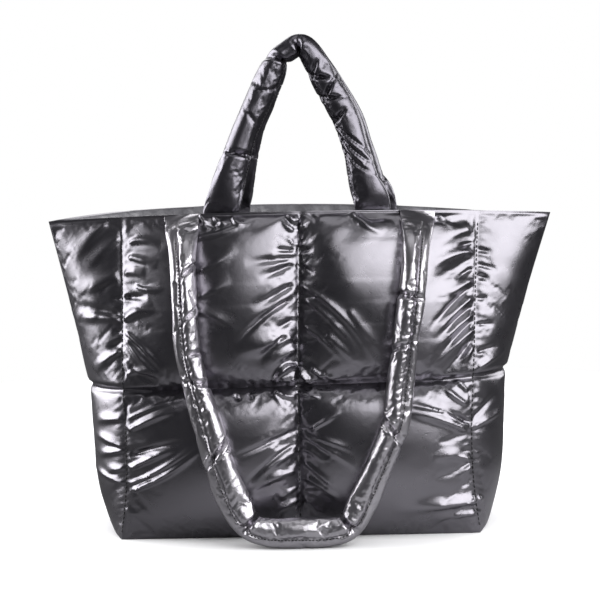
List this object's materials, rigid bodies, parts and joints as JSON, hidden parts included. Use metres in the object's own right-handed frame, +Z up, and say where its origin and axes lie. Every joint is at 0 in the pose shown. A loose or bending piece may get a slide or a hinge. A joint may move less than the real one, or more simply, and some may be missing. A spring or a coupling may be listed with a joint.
{
  "type": "quilted puffer tote bag",
  "caption": "Soft quilted puffer tote of shiny metallic nylon with an open mouth, flared side wings, short padded handles and long padded shoulder straps hanging down its faces.",
  "frame": {"origin": "middle of the base's underside, on the floor that the bag stands on", "axes": "+X to the right along the mouth, +Y from the front panel to the back panel, +Z up from the base to the handles"},
  "size_m": [0.48, 0.2556, 0.4705],
  "materials": {
    "quilted_nylon": "pewter metallic-coated nylon over wadding, glossy and creased",
    "base_nylon": "pewter metallic-coated nylon, flat",
    "rope_nylon": "pewter metallic-coated nylon over a soft round core, glossy and creased"
  },
  "bodies": {
    "root": {"base_panel": "base_nylon", "front_panel": "quilted_nylon", "back_panel": "quilted_nylon", "front_handle": "rope_nylon", "back_handle": "rope_nylon", "front_strap": "rope_nylon", "back_strap": "rope_nylon"}
  },
  "joints": []
}
